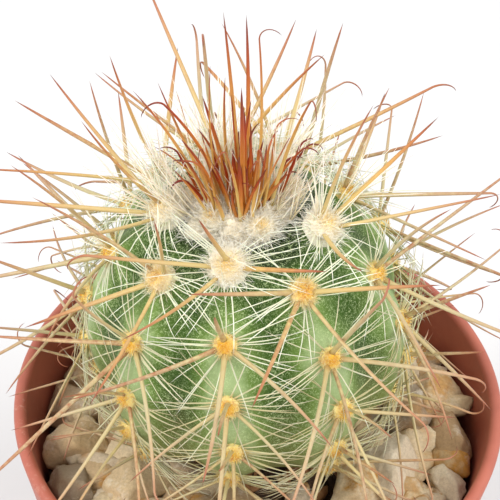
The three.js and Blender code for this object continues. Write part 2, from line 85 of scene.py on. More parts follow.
# Soil, heaped up round the foot of the stem under crumbs and chips of bark
GAP = 0.3
SOIL_SHOULDER = high_corner("soil").z
BED_TOP = low_corner("gravel").z + 2
SOIL_DEPTH = 0.9
SOIL_ROUGHNESS = 0.7
HEAP_RADII = (8.5, 12.5)
HEAP_HEIGHT = 2.2
CRUMBS = 520
CRUMB_LENGTHS = (0.25, 0.85)
BARK_CHIPS = 150
BARK_RADII = (6, 12.5)
BARK_LENGTHS = (1.2, 3.6)

# Gravel: large stones that stand where the frame has them, and small ones between them
FIELD_STONES = 30
WALL_STONES = 23
STONE_LENGTHS = (5.2, 10.5)
WALL_STONE_LENGTHS = (5.4, 8.6)
STONE_TOP = 48.6
STEM_CLEARING = 9.2
SMALL_STONES = 340
SMALL_LENGTHS = (1.8, 5.4)
SMALL_CLEARING = 10.5
STONE_FLATS = 11
FLAT_DISTANCES = (0.66, 0.98)
STONE_SHARPNESS = 26
# Random numbers that the frame draws for the shape of each large stone
STONE_DRAWS = 17

# Stem: an ellipsoid that leans a little to the left, with nine ribs of tubercles
BODY_RADIUS = 17.8
BODY_HALF = 19.3
MEAN_RADIUS = (BODY_RADIUS + BODY_HALF) / 2
BODY_CENTRE = Vector((-1.65, 1.52, POT_HEIGHT + 12.3))
BODY_LEAN = 0.07
NECK_RADIUS = 4.6
NECK_BOTTOM = 38
RIBS = 9
AREOLE_STEP = radians(80)
FIRST_LONGITUDE = radians(-5)
FIRST_AREOLE = 7
LAST_AREOLE = 51
AREOLE_PITCH = 9.3
PITCH_LOSS = 0.42
TUBERCLE_HEIGHT = 1.9
TUBERCLE_LENGTH = 4.3
TUBERCLE_WIDTH = 3.9
TUBERCLE_REACH = 8
GROOVE_DEPTH = 0.9
DIMPLE_DEPTH = 1.1
DIMPLE_RADIUS = 5
PAD_HEIGHT = 1.2

# The hair of the areoles, from old felt to young wool
FELT_WIDTHS = (1.35, 2.3)
FELT_HEIGHTS = (1.1, 2.1)
FELT_HAIRS = (190, 600)
FELT_LENGTHS = (0.8, 1.4)
FELT_RADII = (0.038, 0.045)

# Long spines of an areole: azimuth and tilt in degrees, length, and how often each has a hook
CENTRALS = (
    (272, 56, 18.5, 0.6),
    (336, 62, 17, 0.25),
    (204, 62, 17, 0.25),
    (88, 32, 15.5, 0.4),
)
FRONT_CENTRALS = {
    9: ((190, 52, 17, 1), (350, 57, 12, 0), (238, 55, 18, 0), (80, 14, 15, 0)),
    13: ((160, 30, 18, 0), (250, 45, 16, 0), (300, 60, 18, 0), (60, 35, 14, 0)),
    14: ((270, 62, 20, 1), (212, 70, 16, 0), (332, 32, 17, 0), (158, 76, 15, 0)),
    18: ((272, 47, 19, 0), (334, 62, 18, 0), (202, 59, 18, 0), (96, 30, 14, 0)),
}
CENTRAL_SPREAD = 14
CENTRAL_RADIUS = 0.32
CENTRAL_BOW = 0.35
RADIALS = 5
RADIAL_LENGTH = 8.5
RADIAL_RADIUS = 0.12
RADIAL_BOW = 0.3
RADIAL_TILT = 74
SIDEWAYS = 0.3
EXTRA_RADIALS = (20, 23)
EXTRA_TILTS = (74, 58)
EXTRA_SIDEWAYS = 0.47
EXTRA_CURL = 0.7
HOOK_ARC = 3.6
SHORT_HOOK_ARC = 2.4
HOOK_TURN = radians(130)
ROOT_OFFSET = 0.5
ROOT_DEPTH = 0.9
RADIAL_OFFSET = 0.9
RADIAL_DEPTH = 1.1
CLEARING_TRIES = 40
CLEARING_TURN = 0.09
SHRINK = 0.985

# Crown: a cap of wool with a tuft of young spines that stays in a cone
CAP_ARC = 4.9
CAP_THICKNESS = 2
YOUNG_SPINES = 34
YOUNG_LENGTHS = (6, 23)
CROSSING_SPINES = 26
BUDDING_SPINES = 7
TUFT_SLOPE = 0.65
TUFT_TILT = 0.34
SIDE_BRISTLES = 150
TUFT_BRISTLES = 90
BRISTLE_ARC = 7
WOOL_ARC = 6.6
WOOL_HEIGHT = 1.9
WOOL_HAIRS = 1700
WOOL_EDGE_HAIRS = 320
WOOL_PAD_SIZE = (1.6, 1.3)
# Hooks at the front of the tuft: longitude in degrees and distance from the crown's centre, heading
# and tilt in degrees, lengths of the shaft and the hook, first tone and share of straw
FRONT_HOOKS = (
    (-48, 2.7, 180, -4, 9.2, 3.4, 0.1, 0.9),
    (-68, 2.6, 172, 2, 8.4, 2.4, 0.5, 0),
    (85, 3.0, 12, 4, 7.6, 2.4, 0.5, 0),
    (30, 2.2, 20, 28, 7.4, 1.6, 0.2, 0.6),
)

# Least room between the spines and the stones, the rim and the tuft
STONE_CLEARANCE = 0.8
RIM_CLEARANCE = 1.2
TUFT_CLEARANCE = 1.3

# The camera of the photograph, fitted to the ellipse that the pot's rim makes in it
CAMERA_PLACE = Vector((0, -159.6, POT_HEIGHT + 187.88))
CAMERA_RIGHT = Vector((0.99949, 0.02682, 0.01718))
CAMERA_UP = Vector((-0.03117, 0.71232, 0.70116))
CAMERA_LENS = 144
CAMERA_SENSOR = 36

# Studio, in metres and watts: the place, width and power of each light
LIGHTS = {
    "key": ((-0.55, -0.25, 0.6), 0.35, 4.1),
    "fill": ((0.5, -0.2, 0.6), 0.5, 3.6),
}
LIGHT_AIM = Vector((0, 0, 0.06))
SKY_STRENGTH = 1.02
FLOOR_GREY = 0.62
FLOOR_REACH = 1.5


# Random draws and small sums


def random_from(seed):
    state = (seed * 2654435761) & 0xFFFFFFFF

    def draw():
        nonlocal state
        state = (1664525 * state + 1013904223) & 0xFFFFFFFF
        return state / 4294967296

    return draw


def spread(draw, amount):
    return amount * (2 * draw() - 1)


def mix(low, high, share):
    return low + (high - low) * share


def smooth_step(value, low, high):
    share = min(max((value - low) / (high - low), 0), 1)
    return share * share * (3 - 2 * share)


def add_object(name, data):
    thing = bpy.data.objects.new(name, data)
    bpy.context.scene.collection.objects.link(thing)
    return thing


def around_axis(radius, angle, height):
    return Vector((radius * cos(angle), radius * sin(angle), height))


# Meshes


class Shape:
    """Points in millimetres with a tone for each, and the faces between them."""

    def __init__(self):
        self.points = []
        self.tones = []
        self.faces = []

    def add(self, points, tones, faces):
        start = len(self.points)
        self.points.extend(points)
        self.tones.extend(tones)
        self.faces.extend(tuple(start + corner for corner in face) for face in faces)

    def tube(self, path, radii, sides, side, tones, flatness=1):
        """A tube along a path in a plane whose normal is side, with a pointed tip."""
        points = []
        faces = []
        for i, point in enumerate(path[:-1]):
            forward = (path[i + 1] - path[max(i - 1, 0)]).normalized()
            across = side.cross(forward).normalized()
            for k in range(sides):
                angle = 2 * pi * k / sides
                ring = side * cos(angle) + across * (flatness * sin(angle))
                points.append(point + ring * radii[i])
        for ring in range(len(path) - 2):
            for k in range(sides):
                a = ring * sides + k
                b = ring * sides + (k + 1) % sides
                faces.append((a, b, b + sides, a + sides))
        last = (len(path) - 2) * sides
        points.append(path[-1])
        faces.extend((last + k, last + (k + 1) % sides, last + sides) for k in range(sides))
        faces.append(tuple(reversed(range(sides))))
        ring_tones = [tone for tone in tones[:-1] for _ in range(sides)]
        self.add(points, ring_tones + [tones[-1]], faces)

    def finish(self, name, material, nodes=(), smooth=True):
        mesh = bpy.data.meshes.new(name)
        mesh.from_pydata([point * MM for point in self.points], [], self.faces)
        tone = mesh.attributes.new("tone", "FLOAT_COLOR", "POINT")
        tone.data.foreach_set("color", [part for tone in self.tones for part in (*tone, 1)])
        mesh.materials.append(material)
        mesh.polygons.foreach_set("use_smooth", [smooth] * len(mesh.polygons))
        mesh.update()
        piece = add_object(name, mesh)
        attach(piece, "root")
        if nodes:
            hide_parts(*nodes)
        return piece


def lathe(shape, profile, segments):
    """Turns a profile of (radius, height) that starts and ends on the axis."""
    inner = profile[1:-1]
    points = [Vector((0, 0, profile[0][1]))]
    for radius, height in inner:
        for k in range(segments):
            points.append(around_axis(radius, 2 * pi * k / segments, height))
    points.append(Vector((0, 0, profile[-1][1])))
    faces = []
    for k in range(segments):
        ahead = (k + 1) % segments
        faces.append((0, 1 + ahead, 1 + k))
        for row in range(len(inner) - 1):
            a = 1 + row * segments
            faces.append((a + k, a + ahead, a + segments + ahead, a + segments + k))
        end = 1 + (len(inner) - 1) * segments
        faces.append((end + k, end + ahead, len(points) - 1))
    shape.add(points, [(0, 0, 0)] * len(points), faces)


def dome_faces(rows, segments):
    """The faces of a dome whose points are its pole and then its rows."""
    faces = []
    for k in range(segments):
        ahead = (k + 1) % segments
        faces.append((0, 1 + k, 1 + ahead))
        for row in range(rows - 1):
            a = 1 + row * segments
            faces.append((a + k, a + segments + k, a + segments + ahead, a + ahead))
    return faces


# Colours of 0 to 255, in ramps with the position of each
POT_REDS = [(0.3, (158, 80, 61)), (0.7, (182, 101, 80))]
POT_DUST = (206, 168, 146)
SOIL_BROWNS = [(0.25, (27, 18, 12)), (0.5, (66, 46, 31)), (0.75, (110, 84, 60))]
BARK_BROWNS = [(0, (96, 60, 36)), (0.5, (138, 92, 58)), (1, (70, 44, 30))]
BARK_GRAIN = (168, 128, 88)
STONE_COLOURS = [
    (0, (228, 210, 174)), (0.2, (202, 174, 132)), (0.4, (220, 198, 158)), (0.6, (178, 147, 108)),
    (0.8, (225, 209, 180)), (1, (160, 143, 120)),
]
STONE_OCHRE = (196, 140, 58)
STONE_CHALK = (240, 232, 212)
STONE_GRAIN = (117, 94, 71)
# Skin greens, from painted shade in the grooves to painted highlight on the tubercle crests
SKIN_GREENS_GROOVE_SHADE_TO_CREST_HIGHLIGHT = [(0, (20, 40, 2)), (0.35, (54, 84, 18)), (0.7, (104, 132, 60)), (1, (160, 180, 126))]
SKIN_AGED = (140, 146, 84)
SKIN_SPECKLE = (198, 216, 158)
OLD_HORN = [
    (0, (184, 144, 76)), (0.07, (187, 169, 116)), (0.35, (187, 174, 133)), (0.62, (182, 157, 121)),
    (0.82, (172, 128, 97)), (0.94, (153, 87, 63)), (1, (91, 42, 33)),
]
YOUNG_HORN = [
    (0, (214, 194, 130)), (0.3, (208, 174, 100)), (0.6, (194, 142, 72)), (0.82, (168, 92, 46)),
    (1, (96, 34, 26)),
]
TUFT_HORN = [
    (0, (232, 210, 152)), (0.16, (222, 180, 104)), (0.36, (200, 118, 32)), (0.7, (158, 52, 12)),
    (1, (84, 18, 16)),
]
PALE_HORN = [
    (0, (236, 222, 178)), (0.15, (226, 228, 198)), (0.9, (231, 234, 216)), (1, (204, 186, 164)),
]
STRAW_HORN = [
    (0, (208, 180, 114)), (0.2, (190, 181, 129)), (0.8, (183, 169, 123)), (1, (150, 112, 84)),
]
BRISTLE_HORN = [
    (0, (250, 232, 184)), (0.2, (252, 244, 218)), (0.8, (254, 250, 238)), (1, (240, 222, 196)),
]
WORN_HORN = (156, 98, 66)
GOLDEN_FELT = [(0, (208, 142, 16)), (0.5, (232, 186, 60)), (1, (238, 220, 150))]
FELT_SPECKS = (192, 118, 20)
CREAMY_WOOL = [
    (0, (220, 182, 101)), (0.4, (230, 209, 158)), (0.75, (238, 228, 204)), (1, (243, 238, 221)),
]
# Fine beige streaks on the wool: partly the wool's own beige hairs, partly painted shadow between the
# hairs
WOOL_BEIGE_AND_HAIR_SHADOW = (226, 202, 152)


# Materials


def linear(colour):
    """A colour of 0 to 255 as the linear values that shaders take."""
    parts = [part / 255 for part in colour]
    return tuple(c / 12.92 if c <= 0.04045 else ((c + 0.055) / 1.055) ** 2.4 for c in parts) + (1,)


class Paint:
    """A material's nodes, added one by one."""

    def __init__(self, name, roughness, specular=0.5):
        self.material = bpy.data.materials.new(name)
        self.material.use_nodes = True
        self.tree = self.material.node_tree
        self.shader = self.tree.nodes["Principled BSDF"]
        self.set("Roughness", roughness)
        self.set("Specular IOR Level", specular)

    def give(self, socket, value):
        """Gives an input a value, or links it to an output."""
        if isinstance(value, bpy.types.NodeSocket):
            self.tree.links.new(value, socket)
        else:
            socket.default_value = value

    def set(self, name, value):
        self.give(self.shader.inputs[name], value)

    def add(self, kind, inputs=None, **settings):
        node = self.tree.nodes.new("ShaderNode" + kind)
        for key, value in settings.items():
            setattr(node, key, value)
        for key, value in (inputs or {}).items():
            self.give(node.inputs[key], value)
        return node

    def noise(self, scale, detail=3, roughness=0.55, distortion=0):
        inputs = {"Scale": scale, "Detail": detail, "Roughness": roughness, "Distortion": distortion}
        inputs["Vector"] = self.add("TexCoord").outputs["Object"]
        return self.add("TexNoise", inputs).outputs["Fac"]

    def tone(self):
        """The red, green and blue of the tones that the mesh carries."""
        stored = self.add("Attribute", attribute_name="tone").outputs["Color"]
        return self.add("SeparateColor", {"Color": stored}).outputs

    def ramp(self, factor, stops):
        node = self.add("ValToRGB", {"Fac": factor})
        elements = node.color_ramp.elements
        while len(elements) < len(stops):
            elements.new(1)
        for element, (position, colour) in zip(elements, stops):
            element.position = position
            element.color = linear(colour)
        return node.outputs["Color"]

    def levels(self, factor, low, high):
        """The factor stretched so that low is 0 and high is 1."""
        node = self.add("MapRange", {"Value": factor, "From Min": low, "From Max": high})
        return node.outputs["Result"]

    def blend(self, factor, first, second):
        """From the first to the second, which may also be a colour of 0 to 255."""
        node = self.add("Mix", data_type="RGBA")
        for name, value in (("Factor", factor), ("A", first), ("B", second)):
            target = next(socket for socket in node.inputs if socket.name == name and socket.enabled)
            self.give(target, linear(value) if isinstance(value, tuple) else value)
        return next(socket for socket in node.outputs if socket.enabled)

    def combine(self, operation, first, second):
        return self.add("Math", {0: first, 1: second}, operation=operation).outputs["Value"]

    def times(self, first, second):
        return self.combine("MULTIPLY", first, second)

    def bump(self, height, distance, strength):
        inputs = {"Height": height, "Distance": distance * MM, "Strength": strength}
        self.set("Normal", self.add("Bump", inputs).outputs["Normal"])


def pot_paint():
    paint = Paint("pot_plastic", 0.38)
    paint.set("Coat Weight", 0.15)
    mottle = paint.noise(140, 5)
    base = paint.ramp(mottle, POT_REDS)
    dust = paint.levels(paint.noise(900, 6, 0.7), 0.56, 0.74)
    low = paint.levels(paint.noise(60), 0.4, 0.75)
    paint.set("Base Color", paint.blend(paint.times(dust, low), base, POT_DUST))
    paint.set("Roughness", paint.levels(mottle, -0.9, 1.6))
    paint.bump(paint.noise(1400, 4), 0.05, 0.25)
    return paint.material


def soil_paint():
    paint = Paint("potting_soil", 0.95)
    crumb = paint.noise(900, 8, 0.7)
    paint.set("Base Color", paint.ramp(crumb, SOIL_BROWNS))
    paint.bump(crumb, 0.5, 0.8)
    return paint.material


def bark_paint():
    paint = Paint("bark", 0.85, 0.2)
    grain = paint.noise(700, 6, 0.7)
    chip = paint.ramp(paint.tone()["Red"], BARK_BROWNS)
    paint.set("Base Color", paint.blend(paint.levels(grain, 0.4, 0.7), chip, BARK_GRAIN))
    paint.bump(grain, 0.3, 0.8)
    return paint.material


def stone_paint():
    """Cream, tan and grey stones by tone red, with ochre stains on those of a high tone green."""
    paint = Paint("crushed_stone", 0.8, 0.15)
    tone = paint.tone()
    base = paint.ramp(tone["Red"], STONE_COLOURS)
    stains = paint.levels(paint.noise(210, 5, 0.6), 0.47, 0.58)
    stained = paint.times(stains, paint.levels(tone["Green"], 0.3, 0.9))
    veined = paint.blend(paint.times(stained, 0.9), base, STONE_OCHRE)
    pale = paint.levels(paint.noise(330, 6, 0.7), 0.54, 0.68)
    chalky = paint.blend(paint.times(pale, 0.6), veined, STONE_CHALK)
    grain = paint.levels(paint.noise(2600, 4, 0.7), 0.4, 0.75)
    paint.set("Base Color", paint.blend(paint.times(grain, 0.35), chalky, STONE_GRAIN))
    paint.bump(paint.noise(1000, 9, 0.75), 0.4, 0.8)
    return paint.material


def skin_paint():
    """Green skin: tone red is the tubercle height over the grooves, which the ramp turns from painted
    shade in the grooves to painted highlight on the crests; tone green is painted shade near the
    crown, and tone blue the yellowing near the soil."""
    paint = Paint("cactus_skin", 0.5, 0.2)
    tone = paint.tone()
    mottle = paint.noise(260, 5)
    # Tubercle height less the painted shade near the crown, with mottle, picks the green from painted
    # groove shade to painted crest highlight
    height = paint.combine("SUBTRACT", tone["Red"], tone["Green"])
    level = paint.combine("ADD", height, paint.times(paint.combine("SUBTRACT", mottle, 0.5), 0.7))
    base = paint.ramp(level, SKIN_GREENS_GROOVE_SHADE_TO_CREST_HIGHLIGHT)
    speckle = paint.levels(paint.noise(4400, 2, 0.6, 1.2), 0.5, 0.66)
    patchy = paint.levels(paint.noise(500, 4), 0.2, 0.6)
    faint = paint.times(paint.times(speckle, patchy), 0.7)
    aged = paint.blend(paint.times(tone["Blue"], 0.6), base, SKIN_AGED)
    paint.set("Base Color", paint.blend(faint, aged, SKIN_SPECKLE))
    paint.bump(paint.combine("ADD", speckle, paint.noise(2600)), 0.04, 0.6)
    return paint.material


def spine_paint(name, first, second):
    """Spines coloured along their length by tone red, from the first to the second by tone green."""
    paint = Paint(name, 0.4, 0.35)
    tone = paint.tone()
    along = tone["Red"]
    base = paint.blend(tone["Green"], paint.ramp(along, first), paint.ramp(along, second))
    streak = paint.levels(paint.noise(1300), 0.35, 0.7)
    worn = paint.times(streak, tone["Blue"])
    paint.set("Base Color", paint.blend(worn, base, WORN_HORN))
    paint.set("Subsurface Weight", 0.2)
    paint.set("Subsurface Radius", (0.0006, 0.0004, 0.0002))
    return paint.material


def hair_paint(name):
    """Hair coloured from its middle to its edge by tone red, and from felt to wool by tone green."""
    paint = Paint(name, 0.85)
    tone = paint.tone()
    specks = paint.levels(paint.noise(1900), 0.5, 0.62)
    felt = paint.blend(paint.times(specks, 0.4), paint.ramp(tone["Red"], GOLDEN_FELT), FELT_SPECKS)
    # Fine streaks on the wool, partly its own beige hairs and partly painted shadow between the hairs
    fine = paint.levels(paint.noise(3000, 3, 0.6, 1), 0.5, 0.64)
    wool = paint.blend(paint.times(fine, 0.35), paint.ramp(tone["Red"], CREAMY_WOOL), WOOL_BEIGE_AND_HAIR_SHADOW)
    paint.set("Base Color", paint.blend(tone["Green"], felt, wool))
    paint.set("Subsurface Weight", 1)
    paint.set("Subsurface Radius", (0.0012, 0.0012, 0.0012))
    paint.set("Sheen Weight", 0.3)
    paint.bump(paint.noise(3200, 4, 0.7), 0.1, 0.5)
    return paint.material


# Pot


def outer_radius(z):
    top = RIM_RADIUS - BAND_STEP
    return FOOT_RADIUS + (top - FOOT_RADIUS) * z / POT_HEIGHT


def inner_radius(z):
    return outer_radius(z) + BAND_STEP * z / POT_HEIGHT - WALL


def arc(centre, radius, start, stop, steps):
    """Points of a profile round a centre, from one angle in degrees to another."""
    angles = [radians(mix(start, stop, i / steps)) for i in range(steps + 1)]
    return [(centre[0] + radius * cos(a), centre[1] + radius * sin(a)) for a in angles]


def drain_hole_cutter():
    mesh = bpy.data.meshes.new("drain_cutter")
    cutter = bmesh.new()
    for i in range(DRAIN_HOLES):
        angle = 2 * pi * (i + 0.5) / DRAIN_HOLES
        place = around_axis(DRAIN_CIRCLE, angle, FLOOR / 2)
        bmesh.ops.create_cone(
            cutter,
            cap_ends=True,
            segments=40,
            radius1=DRAIN_RADIUS * MM,
            radius2=DRAIN_RADIUS * MM,
            depth=3 * FLOOR * MM,
            matrix=Matrix.Translation(place * MM),
        )
    cutter.to_mesh(mesh)
    cutter.free()
    return add_object("drain_cutter", mesh)


def apply_modifiers(piece):
    evaluated = piece.evaluated_get(bpy.context.evaluated_depsgraph_get())
    mesh = bpy.data.meshes.new_from_object(evaluated)
    piece.modifiers.clear()
    piece.data = mesh


def build_pot():
    lip = WALL / 2
    band = POT_HEIGHT - BAND_HEIGHT
    profile = [(0, 0)]
    profile += arc((FOOT_RADIUS - CORNER, CORNER), CORNER, -90, 0, 6)
    profile.append((outer_radius(band) - 0.05, band - 0.5))
    bead = BAND_STEP / 2
    profile += arc((outer_radius(band) + bead, band + bead), bead, -150, 0, 6)
    profile += arc((RIM_RADIUS - lip, POT_HEIGHT - lip), lip, 0, 180, 16)
    middle = mix(FLOOR, POT_HEIGHT, 0.5)
    profile.append((inner_radius(middle), middle))
    profile += arc((inner_radius(FLOOR) - CORNER, FLOOR + CORNER), CORNER, 0, -90, 4)
    profile.append((0, FLOOR))
    shape = Shape()
    lathe(shape, profile, 200)
    pot = shape.finish("pot_shell", pot_paint(), ["pot"])
    cutter = drain_hole_cutter()
    cut = pot.modifiers.new("drain_holes", "BOOLEAN")
    cut.object = cutter
    cut.operation = "DIFFERENCE"
    cut.solver = "EXACT"
    apply_modifiers(pot)
    bpy.data.objects.remove(cutter)
    pot.data.shade_smooth()


# Soil


def soil_top(x, y):
    """The soil's surface, which is heaped up round the foot of the stem."""
    fine = noise.fractal(Vector((x, y, 3)) * 0.9, 1, 2, 4)
    heap = 1 - smooth_step(hypot(x, y), *HEAP_RADII)
    return BED_TOP - SOIL_DEPTH + SOIL_ROUGHNESS * fine + HEAP_HEIGHT * heap


def over_soil(radius, angle, lift):
    x = radius * cos(angle)
    y = radius * sin(angle)
    return Vector((x, y, soil_top(x, y) + lift))


def build_soil():
    rings = 44
    segments = 150
    floor = FLOOR + GAP
    profile = [(0, floor), (inner_radius(FLOOR) - CORNER - GAP, floor)]
    profile.append((inner_radius(SOIL_SHOULDER) - GAP, SOIL_SHOULDER))
    edge = inner_radius(BED_TOP) - GAP - 0.3
    profile += [(mix(edge, 0, i / rings), BED_TOP) for i in range(rings)]
    profile.append((0, BED_TOP))
    shape = Shape()
    lathe(shape, profile, segments)
    for point in shape.points:
        if point.z == BED_TOP:
            point.z = soil_top(point.x, point.y)
    draw = random_from(31)
    for _ in range(CRUMBS):
        radius = mix(NECK_RADIUS + 0.9, edge - 1.2, sqrt(draw()))
        angle = 2 * pi * draw()
        size = mix(*CRUMB_LENGTHS, draw() ** 2)
        add_stone(shape, draw, over_soil(radius, angle, 0.3 * size), size, (1, 0.8, 0.7), 1, 0)
    shape.finish("soil_crumbs", soil_paint(), ["soil"], smooth=False)


def build_bark():
    """Flat chips and shreds of bark on the soil round the foot of the stem."""
    draw = random_from(32)
    shape = Shape()
    for _ in range(BARK_CHIPS):
        radius = mix(*BARK_RADII, draw())
        angle = 2 * pi * draw()
        length = mix(*BARK_LENGTHS, draw() ** 1.5)
        centre = over_soil(radius, angle, mix(0.1, 0.8, draw()))
        proportions = (1.3, mix(0.25, 0.6, draw()), 0.3)
        add_stone(shape, draw, centre, length, proportions, 2, draw())
    shape.finish("bark_chips", bark_paint())


# Gravel


def ico_sphere(subdivisions):
    sphere = bmesh.new()
    bmesh.ops.create_icosphere(sphere, subdivisions=subdivisions, radius=1)
    points = [vertex.co.copy() for vertex in sphere.verts]
    faces = [tuple(vertex.index for vertex in face.verts) for face in sphere.faces]
    sphere.free()
    return points, faces


SPHERES = {level: ico_sphere(level) for level in (1, 2, 3, 4)}


def add_stone(shape, draw, centre, length, proportions, level, tone):
    """A rounded lump between flats at random distances, as crushed stone breaks."""
    flats = []
    for i in range(STONE_FLATS):
        height = 1 - 2 * (i + 0.5) / STONE_FLATS
        ring = sqrt(1 - height * height)
        angle = i * GOLDEN_ANGLE + spread(draw, 0.5)
        normal = Vector((ring * cos(angle), ring * sin(angle), height + spread(draw, 0.2)))
        flats.append((normal.normalized(), mix(*FLAT_DISTANCES, draw())))
    turn = Matrix.Rotation(pi * draw(), 3, "Z") @ Matrix.Rotation(spread(draw, 0.3), 3, "X")
    shift = Vector((draw(), draw(), draw())) * 50
    points = []
    directions, faces = SPHERES[level]
    for direction in directions:
        parts = [max(direction.dot(normal) / far, 0) ** STONE_SHARPNESS for normal, far in flats]
        reach = sum(parts) ** (-1 / STONE_SHARPNESS)
        rough = 1 + 0.07 * noise.fractal(direction * 2.6 + shift, 0.8, 2.1, 5)
        local = direction * reach * rough * length / 2
        local = Vector(part * share for part, share in zip(local, proportions))
        points.append(centre + turn @ local)
    shape.add(points, [(tone, draw(), 0)] * len(points), faces)
    return points


def settle(points, bottom):
    """Moves a stone up or down so that its lowest point is at bottom."""
    lowest = min(point.z for point in points)
    for point in points:
        point.z += bottom - lowest


def slid_to_wall(points, angle, reach):
    """Moves a stone's points along its angle until the outermost one is at reach."""
    farthest = max(hypot(point.x, point.y) for point in points)
    for point in points:
        point.x += (reach - farthest) * cos(angle)
        point.y += (reach - farthest) * sin(angle)


def add_large_stones(shape, outer, detail):
    """The stones of the frame, each at its place and with its size there."""
    draw = random_from(11)
    for i in range(FIELD_STONES + WALL_STONES):
        is_field = i < FIELD_STONES
        length = mix(*(STONE_LENGTHS if is_field else WALL_STONE_LENGTHS), draw() ** 1.5)
        if is_field:
            angle = i * GOLDEN_ANGLE + spread(draw, 0.1)
            inner = STEM_CLEARING + length / 2
            radius = sqrt(mix(inner**2, (outer - 6) ** 2, (i + 0.5) / FIELD_STONES))
        else:
            angle = 2 * pi * (i - FIELD_STONES) / WALL_STONES
            radius = outer - length / 2
        centre = around_axis(radius, angle, BED_TOP)
        for _ in range(STONE_DRAWS):
            draw()
        sunk = 0.9 * (1 + 0.5 * draw())
        proportions = (1.02, 0.76 + spread(detail, 0.1), 0.7 + spread(detail, 0.07))
        points = add_stone(shape, detail, centre, length, proportions, 4, detail())
        settle(points, BED_TOP - sunk)
        if not is_field:
            slid_to_wall(points, angle, outer + GAP)


def add_small_stones(shape, outer, draw):
    for _ in range(SMALL_STONES):
        length = mix(*SMALL_LENGTHS, draw() ** 1.2)
        radius = sqrt(mix(SMALL_CLEARING**2, (outer - 0.4 * length) ** 2, draw()))
        centre = around_axis(radius, 2 * pi * draw(), BED_TOP)
        points = add_stone(shape, draw, centre, length, (1.1, 0.9, 0.75), 3, draw())
        settle(points, BED_TOP - 0.5 - 0.1 * length + 2.2 * draw() ** 2)


def build_gravel():
    shape = Shape()
    outer = inner_radius(BED_TOP) - GAP
    draw = random_from(12)
    add_large_stones(shape, outer, draw)
    add_small_stones(shape, outer, draw)
    shape.finish("gravel_stones", stone_paint(), ["gravel"])


# Stem


class Place:
    """A point of the stem's surface with its outward, upward and rightward directions."""

    def __init__(self, longitude, polar, lift):
        around = Vector((sin(longitude), -cos(longitude), 0))
        axis = Vector((0, 0, 1))
        sine = sin(polar)
        cosine = cos(polar)
        lean = Matrix.Rotation(-BODY_LEAN, 3, "Y")
        out = (around * (sine / BODY_RADIUS) + axis * (cosine / BODY_HALF)).normalized()
        up = (around * (-BODY_RADIUS * cosine) + axis * (BODY_HALF * sine)).normalized()
        point = around * (BODY_RADIUS * sine) + axis * (BODY_HALF * cosine) + out * lift
        self.out = lean @ out
        self.up = lean @ up
        self.right = lean @ up.cross(out)
        self.point = BODY_CENTRE + lean @ point

    def across(self, azimuth):
        """The direction along the surface at an angle from rightward to upward."""
        return self.right * cos(azimuth) + self.up * sin(azimuth)


class Areole:
    """One areole: its number from the crown down, and its place."""

    def __init__(self, n):
        draw = random_from(500 + n)
        pitches = n / RIBS
        arc_length = AREOLE_PITCH * pitches - PITCH_LOSS * pitches**2
        self.n = n
        self.longitude = FIRST_LONGITUDE + n * AREOLE_STEP + spread(draw, 0.03)
        self.polar = (arc_length + spread(draw, 0.3)) / MEAN_RADIUS
        self.flat = Place(self.longitude, self.polar, 0)
        self.youth = 1 - smooth_step(n, 7, 20)

    def place(self, lift):
        return skin_place(self.longitude, self.polar, lift)


AREOLES = [Areole(n) for n in range(FIRST_AREOLE, LAST_AREOLE + 1)]
CROWN = Place(0, 0, 0)


def tubercle_share(point):
    """How much of a tubercle there is at a point of the smooth ellipsoid."""
    share = 0
    for areole in AREOLES:
        step = point - areole.flat.point
        along = step.dot(areole.flat.up) / TUBERCLE_LENGTH
        aside = step.dot(areole.flat.right) / TUBERCLE_WIDTH
        deep = step.dot(areole.flat.out) / TUBERCLE_REACH
        share += exp(-(along**2) - aside**2 - deep**2)
    return min(share, 1.1)


def skin_height(longitude, polar):
    """The height of the skin over the smooth ellipsoid, and the share of a tubercle there."""
    arc_length = polar * MEAN_RADIUS
    shown = smooth_step(arc_length, 3, 8) * (1 - smooth_step(polar, 2.2, 2.7))
    share = tubercle_share(Place(longitude, polar, 0).point)
    tubercles = shown * (TUBERCLE_HEIGHT * share - GROOVE_DEPTH)
    dimple = DIMPLE_DEPTH * exp(-((arc_length / DIMPLE_RADIUS) ** 2))
    return tubercles - dimple, share


def skin_place(longitude, polar, lift):
    return Place(longitude, polar, skin_height(longitude, polar)[0] + lift)


def build_skin():
    rows = 170
    segments = 240
    neck_polar = pi - asin(NECK_RADIUS / BODY_RADIUS)
    points = [Place(0, 0, skin_height(0, 0)[0]).point]
    tones = [(0.5, 0, 0)]
    for row in range(1, rows + 1):
        polar = neck_polar * row / rows
        for k in range(segments):
            longitude = 2 * pi * k / segments
            height, share = skin_height(longitude, polar)
            points.append(Place(longitude, polar, height).point)
            # Painted shade on the skin near the crown, darkest at the crown's middle
            painted_crown_shade = 0.75 * (1 - smooth_step(polar, 0.35, 1.1))
            tones.append((share, painted_crown_shade, smooth_step(polar, 1.2, 2)))
    for _ in range(segments):
        foot = points[-segments].copy()
        foot.z = NECK_BOTTOM
        points.append(foot)
        tones.append((0, 0, 0))
    faces = dome_faces(rows + 1, segments)
    end = 1 + rows * segments
    faces.append(tuple(range(end, end + segments)))
    shape = Shape()
    shape.add(points, tones, faces)
    shape.finish("stem_skin", skin_paint(), ["stem"])


# Spines


